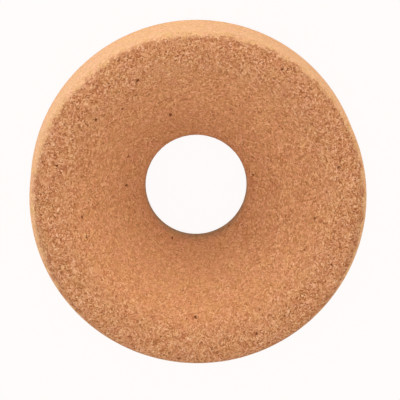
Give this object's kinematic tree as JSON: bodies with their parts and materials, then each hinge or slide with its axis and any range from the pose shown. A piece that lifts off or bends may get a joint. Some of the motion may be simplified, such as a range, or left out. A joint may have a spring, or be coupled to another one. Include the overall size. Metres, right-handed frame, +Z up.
{
  "type": "cork ring",
  "caption": "Thick ring of pressed cork with a conical seat and a central hole, which holds a round-bottomed flask upright on a bench.",
  "frame": {"origin": "centre of the base, on the ring's axis", "axes": "+Z up along the ring's axis, from the base to the rim; the ring is the same all round, so X and Y are free"},
  "size_m": [0.11, 0.11, 0.034],
  "materials": {
    "cork": "matt pressed cork of fine granules, ground smooth on the wall and the seat, rougher and pitted on the rim"
  },
  "bodies": {
    "root": {"cork_ring": "cork"}
  },
  "joints": []
}
